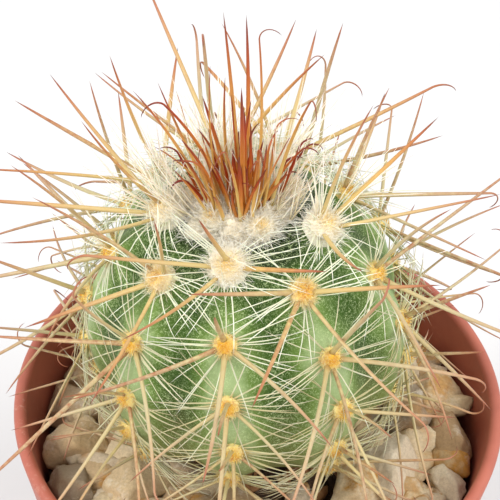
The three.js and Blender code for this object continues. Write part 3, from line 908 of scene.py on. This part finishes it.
@dataclass
class Spine:
    """A spine that bends: its bow and its hook are angles in radians."""

    root: Vector
    along: Vector
    towards: Vector
    length: float
    bow: float
    hook: float = 0
    hook_arc: float = HOOK_ARC

    def path(self, shaft_steps, hook_steps):
        steps = [(self.length / shaft_steps, self.bow / shaft_steps)] * shaft_steps
        if self.hook:
            steps += [(self.hook_arc / hook_steps, self.hook / hook_steps)] * hook_steps
        points = [self.root.copy()]
        angle = 0
        for stride, turn in steps:
            angle += turn
            step = self.along * cos(angle) + self.towards * sin(angle)
            points.append(points[-1] + step * stride)
        return points

    def turn_to(self, direction, amount):
        """Turns the spine a little way to a direction, and shortens it."""
        self.along = (self.along + direction * amount).normalized()
        self.towards = (self.towards - self.along * self.towards.dot(self.along)).normalized()
        self.length *= SHRINK


def leaning(root, out, across, tilt, twist, length, bow, hook=0, hook_arc=HOOK_ARC):
    """A spine that leans from out to across, and bends that way unless it is twisted."""
    along = out * cos(tilt) + across * sin(tilt)
    towards = across * cos(tilt) - out * sin(tilt)
    turned = Matrix.Rotation(twist, 3, along) @ towards
    return Spine(root, along, turned, length, bow, hook, hook_arc)


def spine_at(place, azimuth, tilt, length, bow, hook=0, hook_arc=HOOK_ARC, twist=0):
    across = place.across(azimuth)
    root = place.point + across * ROOT_OFFSET - place.out * ROOT_DEPTH
    return leaning(root, place.out, across, tilt, twist, length, bow, hook, hook_arc)


BOX_LOW = Vector(CAD_BOX[0]) / MM
BOX_HIGH = Vector(CAD_BOX[1]) / MM


def in_box(point):
    margin = CENTRAL_RADIUS
    return all(BOX_LOW[i] + margin < point[i] < BOX_HIGH[i] - margin for i in range(3))


def fitted(spine):
    """The spine, shortened until it is in the CAD box."""
    while not all(in_box(point) for point in spine.path(6, 6)):
        spine.length *= 0.97
    return spine


def is_clear(path):
    for point in path[1:]:
        over_rim = hypot(point.x, point.y) > inner_radius(POT_HEIGHT) - 2 * WALL
        floor = POT_HEIGHT + RIM_CLEARANCE if over_rim else STONE_TOP + STONE_CLEARANCE
        if point.z <= floor or room_from_tuft(point) < TUFT_CLEARANCE:
            return False
    return True


def room_from_tuft(point):
    """How far a point is outside the cone that the tuft stays in."""
    step = point - CROWN.point
    height = step.dot(CROWN.out)
    if height < -2 * CAP_THICKNESS:
        return TUFT_CLEARANCE
    aside = (step - CROWN.out * height).length
    return aside - CAP_ARC - TUFT_SLOPE * max(height, -CAP_THICKNESS)


def cleared(spine):
    """Turns a spine up from the pot or out from the tuft, and shortens it, until it is clear."""
    for _ in range(CLEARING_TRIES):
        path = spine.path(4, 4)
        if is_clear(path):
            return fitted(spine)
        tip = path[4]
        away = Vector((tip.x - CROWN.point.x, tip.y - CROWN.point.y, 0)).normalized()
        spine.turn_to(Vector((0, 0, 1)) if tip.z < BODY_CENTRE.z else away, CLEARING_TURN)
    return None


def length_share(n):
    return mix(1.15, 0.7, smooth_step(n, FIRST_AREOLE, LAST_AREOLE))


def central_spines(areole):
    """The four long spines of an areole, as in the frame."""
    draw = random_from(9000 + areole.n)
    place = areole.place(PAD_HEIGHT)
    is_front = areole.n in FRONT_CENTRALS
    layout = FRONT_CENTRALS.get(areole.n, CENTRALS)
    jitter = 0 if is_front else 1
    spines = []
    for azimuth, tilt, length, hooks in layout:
        turn = radians(azimuth + jitter * spread(draw, CENTRAL_SPREAD))
        lean = radians(tilt + jitter * spread(draw, CENTRAL_SPREAD))
        lean *= mix(1, 0.8, areole.youth * jitter)
        size = length * (1 if is_front else length_share(areole.n) * (1 + spread(draw, 0.18)))
        bow = spread(draw, CENTRAL_BOW)
        hook = HOOK_TURN * (1 + spread(draw, 0.3)) if draw() < hooks else 0
        spines.append(spine_at(place, turn, lean, size, bow, hook, twist=spread(draw, 0.9)))
    return [spine for spine in map(cleared, spines) if spine]


def radial_ring(place, draw, count, tilt, sideways, curl=0):
    """A star of spines, denser to the left and right than up and down."""
    spines = []
    for i in range(count):
        turn = 2 * pi * (i + 0.5) / count + spread(draw, 0.12)
        azimuth = turn - sideways * sin(2 * turn)
        lean = radians(tilt + spread(draw, 6))
        size = RADIAL_LENGTH * (1 + spread(draw, 0.2))
        bow = RADIAL_BOW * (1 + curl + spread(draw, 0.6))
        twist = curl * sin(5 * turn)
        root = place.point + place.across(turn) * RADIAL_OFFSET - place.out * RADIAL_DEPTH
        spines.append(leaning(root, place.out, place.across(azimuth), lean, twist, size, bow))
    return [spine for spine in map(cleared, spines) if spine]


def radial_spines(areole):
    """The radial spines that the frame has, then the rest of the star."""
    place = areole.place(PAD_HEIGHT)
    first = radial_ring(place, random_from(4000 + areole.n), RADIALS, RADIAL_TILT, SIDEWAYS)
    count = round(mix(*EXTRA_RADIALS, areole.youth))
    tilt = mix(*EXTRA_TILTS, areole.youth)
    draw = random_from(4500 + areole.n)
    return first + radial_ring(place, draw, count, tilt, EXTRA_SIDEWAYS, EXTRA_CURL)


def fine_spines(areole):
    """Fine pale bristles that stand up near the crown, most of all behind it."""
    draw = random_from(4700 + areole.n)
    place = areole.place(PAD_HEIGHT)
    behind = smooth_step(place.point.y, -4, 6) * (1 - smooth_step(areole.n, 15, 24))
    backward = atan2(place.up.y, place.right.y)
    besides = areole.youth * smooth_step(place.point.y, -9, 0)
    spines = []
    for _ in range(round(13 * besides + 20 * behind)):
        azimuth = backward + spread(draw, mix(1.5, pi, behind))
        tilt = mix(0.15, 0.9, draw())
        size = mix(6, 12, draw())
        bow = spread(draw, 0.3)
        spines.append(fitted(spine_at(place, azimuth, tilt, size, bow, twist=spread(draw, 1))))
    return spines


def add_central(shape, spine, young, worn, radius, first_tone=0):
    """A long spine: a thick foot, a shaft that thins slowly, and a fine tip."""
    path = spine.path(12, 9)
    whole = spine.length + (spine.hook_arc if spine.hook else 0)
    radii = []
    tones = []
    gone = 0
    for i, point in enumerate(path):
        if i:
            gone += (point - path[i - 1]).length
        share = gone / whole
        foot = 0.35 * exp(-((gone / 1.2) ** 2))
        radii.append(radius * (1 + foot - 0.3 * share - 0.55 * share**4))
        tones.append((mix(first_tone, 1, share), young, worn))
    shape.tube(path, radii, 7, spine.along.cross(spine.towards), tones, 0.72)


def add_radial(shape, spine, radius, tone):
    steps = 5
    path = spine.path(steps, 1)
    radii = [radius * (1 - 0.7 * i / steps) for i in range(steps + 1)]
    tones = [(i / steps, tone, 0) for i in range(steps + 1)]
    shape.tube(path, radii, 4, spine.along.cross(spine.towards), tones)


def build_centrals():
    shape = Shape()
    for areole in AREOLES:
        draw = random_from(7000 + areole.n)
        radius = CENTRAL_RADIUS * mix(1, 0.75, smooth_step(areole.n, 20, 36))
        for spine in central_spines(areole):
            young = min(max(0.7 * areole.youth + spread(draw, 0.3), 0), 1)
            add_central(shape, spine, young, draw() ** 2, radius)
    shape.finish("central_spines", spine_paint("central_horn", OLD_HORN, YOUNG_HORN))


def build_radials():
    shape = Shape()
    fine = Shape()
    for areole in AREOLES:
        draw = random_from(7500 + areole.n)
        for spine in radial_spines(areole):
            age = smooth_step(areole.n, 13, 30) * mix(0.5, 1, draw())
            add_radial(shape, spine, 0.82 * RADIAL_RADIUS * (1 + spread(draw, 0.25)), age)
        for spine in fine_spines(areole):
            add_radial(fine, spine, 0.7 * RADIAL_RADIUS, 0.4 * draw() ** 3)
    shape.finish("radial_spines", spine_paint("radial_horn", PALE_HORN, STRAW_HORN))
    fine.finish("fine_spines", spine_paint("fine_horn", BRISTLE_HORN, YOUNG_HORN))


# Felt and wool on the areoles


def add_hair(shape, draw, root, out, length, thickness, tone, young):
    """A short curled hair from root, leaving along out."""
    bend = Vector((spread(draw, 1), spread(draw, 1), spread(draw, 1)))
    towards = (bend - out * bend.dot(out)).normalized()
    steps = 3
    path = Spine(root, out, towards, length, spread(draw, 1.2)).path(steps, 1)
    radii = [thickness * (1 - 0.6 * i / steps) for i in range(steps + 1)]
    tones = [(min(max(tone, 0) + 0.2 * i, 1), young, 0) for i in range(steps + 1)]
    shape.tube(path, radii, 3, out.cross(towards), tones)


def add_pad(shape, place, width, height, seed, young):
    """A low fuzzy dome: tone red is 0 in its middle and 1 at its edge."""
    directions, faces = SPHERES[3]
    shift = Vector((seed, 0, 0))
    points = []
    tones = []
    for direction in directions:
        local = direction * (1 + 0.14 * noise.fractal(direction * 3 + shift, 1, 2, 3))
        across = place.right * local.x + place.up * local.y
        points.append(place.point + across * width + place.out * (height * local.z))
        share = hypot(local.x, local.y)
        tones.append((share if local.z > 0 else 1, young, 0))
    shape.add(points, tones, faces)


def add_puff(shape, draw, place, width, height, count, lengths, thickness, young):
    """Hairs that stand out of a dome on all sides, and on young areoles also under its edge."""
    for i in range(count):
        spot = mix(1, 1.28, young) * (i + 0.5) / count
        share = sqrt(min(spot, 2 - spot))
        azimuth = i * GOLDEN_ANGLE
        across = place.across(azimuth)
        dome = copysign(sqrt(1 - share**2), 1 - spot)
        root = place.point + across * (width * share) + place.out * (0.9 * height * dome)
        jitter = place.right * spread(draw, 0.35) + place.up * spread(draw, 0.35)
        out = (place.out * (0.2 + dome) + across * share + jitter).normalized()
        tone = mix(0.1, 0.8, share) + spread(draw, 0.15)
        length = mix(*lengths, draw()) * mix(1, 1.6, young * share**3)
        add_hair(shape, draw, root, out, length, thickness, tone, young)


def build_areole_wool():
    """White wool puffs on the young areoles, and golden felt on the old ones."""
    hair = Shape()
    pads = Shape()
    for areole in AREOLES:
        draw = random_from(8000 + areole.n)
        place = areole.place(0)
        woolly = 1 - smooth_step(areole.n, 9, 17)
        creamy = 1 - smooth_step(areole.n, 11, 15)
        width = mix(*FELT_WIDTHS, woolly)
        height = mix(*FELT_HEIGHTS, woolly)
        count = round(mix(*FELT_HAIRS, woolly))
        lengths = (0.3, mix(*FELT_LENGTHS, woolly))
        thickness = mix(*FELT_RADII, woolly)
        add_pad(pads, place, width, height, areole.n, creamy)
        add_puff(hair, draw, place, width, height, count, lengths, thickness, creamy)
    pads.finish("areole_pads", hair_paint("areole_felt"))
    hair.finish("areole_wool", hair_paint("areole_hair"))


# Crown


def crown_place(longitude, arc_length, lift=0.9):
    return skin_place(longitude, arc_length / MEAN_RADIUS, lift)


def away_from_crown(point):
    """The direction along the crown from its centre to a point."""
    away = point - CROWN.point
    return (away - CROWN.out * away.dot(CROWN.out)).normalized()


def young_spines():
    """The tuft of the crown: spines that lean out a little and stay in a cone."""
    draw = random_from(77)
    spines = []
    for i in range(YOUNG_SPINES):
        share = sqrt((i + 0.5) / YOUNG_SPINES)
        root = crown_place(i * GOLDEN_ANGLE, 0.8 * CAP_ARC * share).point
        tilt = TUFT_TILT * share + spread(draw, 0.14)
        length = mix(*YOUNG_LENGTHS, draw() ** 1.6)
        hook = HOOK_TURN if draw() < 0.35 else 0
        bow = 0.1 + spread(draw, 0.4)
        twist = spread(draw, 1.2)
        spine = leaning(root, CROWN.out, away_from_crown(root), tilt, twist, length, bow, hook)
        while any(room_from_tuft(point) > 0 for point in spine.path(4, 4)):
            spine.turn_to(CROWN.out, 0.06)
        spines.append(fitted(spine))
    return spines


def crossing_spines():
    """Thin young spines that lean any way and cross in the tuft."""
    draw = random_from(79)
    spines = []
    for i in range(CROSSING_SPINES):
        place = crown_place(i * GOLDEN_ANGLE, CAP_ARC * mix(0.1, 0.55, draw()))
        hook = HOOK_TURN * draw() if draw() < 0.4 else 0
        azimuth = 2 * pi * draw()
        tilt = mix(0.05, 0.4, draw())
        length = mix(5, 14, draw())
        bow = spread(draw, 0.5)
        spines.append(fitted(spine_at(place, azimuth, tilt, length, bow, hook, SHORT_HOOK_ARC)))
    return spines


def budding_spines():
    """Short dark hooks that curl out round the foot of the tuft."""
    draw = random_from(80)
    spines = []
    for i in range(BUDDING_SPINES):
        turn = mix(0.25, 0.75, (i + spread(draw, 0.3)) / (BUDDING_SPINES - 1))
        place = crown_place(2 * pi * turn, CAP_ARC * mix(0.5, 0.9, draw()))
        downward = radians(270 + spread(draw, 30))
        tilt = mix(0, 0.35, draw())
        length = mix(5, 9, draw())
        bow = spread(draw, 0.3)
        hook = mix(1.4, 2.4, draw())
        spines.append(fitted(spine_at(place, downward, tilt, length, bow, hook, SHORT_HOOK_ARC)))
    return spines


def front_hooks():
    """The hooks at the tuft's front, each with its first tone and share of straw."""
    hooks = []
    for longitude, distance, heading, tilt, length, hook_arc, first_tone, straw in FRONT_HOOKS:
        place = crown_place(radians(longitude), distance)
        azimuth = radians(heading - longitude)
        spine = spine_at(place, azimuth, radians(tilt), length, 0.15, 2.0, hook_arc)
        hooks.append((spine, first_tone, straw))
    return hooks


def build_tuft(draw):
    """Young spines: red-brown in the middle of the tuft, and straw-coloured round it."""
    shape = Shape()
    for i, spine in enumerate(young_spines()):
        outer = smooth_step(i, 3, 18)
        straw = outer * mix(0.6, 1, draw())
        radius = CENTRAL_RADIUS * mix(1, 0.7, outer) * mix(0.75, 1.25, draw())
        add_central(shape, spine, straw, 0, radius)
    for spine in crossing_spines():
        add_central(shape, spine, 0.4 * draw(), 0, CENTRAL_RADIUS * mix(0.5, 1.1, draw()), 0.05)
    for spine in budding_spines():
        add_central(shape, spine, 0, 0, CENTRAL_RADIUS * mix(0.7, 1.1, draw()), 0.45)
    for spine, first_tone, straw in front_hooks():
        add_central(shape, spine, straw, 0, CENTRAL_RADIUS * mix(0.75, 1, draw()), first_tone)
    shape.finish("young_spines", spine_paint("young_horn", TUFT_HORN, YOUNG_HORN), ["crown"])


def wool_place(longitude, share):
    """A place on the crown's wool: lumps over the skin that run out in an uneven edge."""
    around = Vector((cos(longitude), sin(longitude), 0))
    edge = WOOL_ARC * (1 + 0.22 * noise.noise(around * 1.9))
    arc_length = edge * share
    lumps = noise.fractal(around * arc_length * 0.55 + Vector((7, 0, 0)), 0.9, 2, 4)
    height = WOOL_HEIGHT * (1 + 0.55 * lumps) * sqrt(max(1 - share**2, 0)) - 0.25
    return crown_place(longitude, arc_length, height)


def add_wool_bed(shape):
    """A closed bed of wool, with its underside inside the stem."""
    rows = 46
    segments = 130
    points = [wool_place(0, 0).point]
    for row in range(1, rows + 1):
        points += [wool_place(2 * pi * k / segments, row / rows).point for k in range(segments)]
    points.append(CROWN.point - CROWN.out * 4)
    faces = dome_faces(rows, segments)
    end = 1 + (rows - 1) * segments
    faces += [(end + k, len(points) - 1, end + (k + 1) % segments) for k in range(segments)]
    shape.add(points, [(0.85, 1, 0)] * len(points), faces)


def add_bed_hairs(shape, draw):
    """Short hairs on the outer half of the wool."""
    for i in range(WOOL_HAIRS):
        share = mix(0.5, 1, ((i + 0.5) / WOOL_HAIRS) ** 0.6)
        place = wool_place(i * GOLDEN_ANGLE, share)
        away = (place.point - CROWN.point) / WOOL_ARC
        jitter = place.right * spread(draw, 0.6) + place.up * spread(draw, 0.6)
        out = (place.out + away * 0.9 + jitter).normalized()
        length = mix(0.5, 1.4, draw()) if draw() < 0.8 else mix(1.4, 2.6, draw())
        add_hair(shape, draw, place.point, out, length, 0.042, mix(0.6, 1, draw()), 1)


def add_edge_hairs(shape, draw):
    """Long thin hairs that reach out over the skin from the edge of the wool."""
    for i in range(WOOL_EDGE_HAIRS):
        place = wool_place(i * GOLDEN_ANGLE, mix(0.82, 1, draw()))
        away = (place.point - CROWN.point).normalized()
        jitter = place.right * spread(draw, 0.5) + place.out * spread(draw, 0.25)
        out = (away + place.out * 0.45 + jitter).normalized()
        add_hair(shape, draw, place.point, out, mix(1.4, 3.4, draw()), 0.03, 0.9, 1)


def build_crown_wool(draw):
    """The bed of wool, with a puff for each of the areoles that are still inside it."""
    wool = Shape()
    add_wool_bed(wool)
    for n in range(1, FIRST_AREOLE):
        place = Areole(n).place(0.9)
        add_pad(wool, place, *WOOL_PAD_SIZE, n, 1)
        add_puff(wool, draw, place, *WOOL_PAD_SIZE, 360, (0.4, 1.4), 0.045, 1)
    add_bed_hairs(wool, draw)
    add_edge_hairs(wool, draw)
    wool.finish("crown_wool", hair_paint("crown_hair"))


def build_crown_bristles(draw):
    """Pale bristles round the back of the crown and among the spines of the tuft."""
    bristles = Shape()
    for i in range(SIDE_BRISTLES):
        share = mix(0.55, 1, draw())
        longitude = 2 * pi * mix(0.19, 0.81, i * GOLDEN_ANGLE / (2 * pi) % 1)
        root = crown_place(longitude, BRISTLE_ARC * share, 0.5).point
        tilt = mix(0.1, 0.7, draw())
        length = mix(5, 13, draw())
        bow = -spread(draw, 0.3)
        spine = leaning(root, CROWN.out, away_from_crown(root), tilt, 0, length, bow)
        add_radial(bristles, fitted(spine), 0.085, 0.3 * draw() ** 2)
    for i in range(TUFT_BRISTLES):
        place = crown_place(i * GOLDEN_ANGLE, CAP_ARC * mix(0.2, 1, draw()))
        azimuth = 2 * pi * draw()
        tilt = mix(0, 0.6, draw())
        length = mix(3, 9, draw())
        spine = spine_at(place, azimuth, tilt, length, spread(draw, 0.5))
        add_radial(bristles, fitted(spine), 0.09, 0.2 * draw())
    bristles.finish("crown_bristles", spine_paint("bristle_horn", BRISTLE_HORN, YOUNG_HORN))


def build_crown():
    draw = random_from(78)
    build_tuft(draw)
    build_crown_wool(draw)
    build_crown_bristles(draw)


# Camera, floor and light


def build_camera():
    camera = bpy.data.cameras.new("camera")
    camera.lens = CAMERA_LENS
    camera.sensor_width = CAMERA_SENSOR
    camera.clip_start = 0.01
    camera.clip_end = 10
    back = CAMERA_RIGHT.cross(CAMERA_UP)
    turn = Matrix((CAMERA_RIGHT, CAMERA_UP, back)).transposed()
    viewer = add_object("camera", camera)
    viewer.matrix_world = Matrix.Translation(CAMERA_PLACE * MM) @ turn.to_4x4()
    bpy.context.scene.camera = viewer


def build_floor():
    mesh = bpy.data.meshes.new("floor")
    corners = [(x * FLOOR_REACH, y * FLOOR_REACH, 0) for x, y in ((-1, -1), (1, -1), (1, 1), (-1, 1))]
    mesh.from_pydata(corners, [], [(0, 1, 2, 3)])
    paint = Paint("floor_white", 0.9)
    paint.set("Base Color", (FLOOR_GREY, FLOOR_GREY, FLOOR_GREY, 1))
    mesh.materials.append(paint.material)
    add_object("floor", mesh)


def add_light(name, place, width, power):
    light = bpy.data.lights.new(name, "AREA")
    light.shape = "DISK"
    light.size = width
    light.energy = power
    lamp = add_object(name, light)
    lamp.location = place
    aim = LIGHT_AIM - Vector(place)
    lamp.rotation_euler = aim.to_track_quat("-Z", "Y").to_euler()


def build_light():
    world = bpy.data.worlds.new("studio")
    world.use_nodes = True
    sky = world.node_tree.nodes["Background"]
    sky.inputs["Color"].default_value = (1, 1, 1, 1)
    sky.inputs["Strength"].default_value = SKY_STRENGTH
    bpy.context.scene.world = world
    for name, (place, width, power) in LIGHTS.items():
        add_light(name, place, width, power)
    bpy.context.scene.view_settings.view_transform = "Standard"


build_camera()
build_floor()
build_light()
build_pot()
build_soil()
build_bark()
build_gravel()
build_skin()
build_centrals()
build_radials()
build_areole_wool()
build_crown()
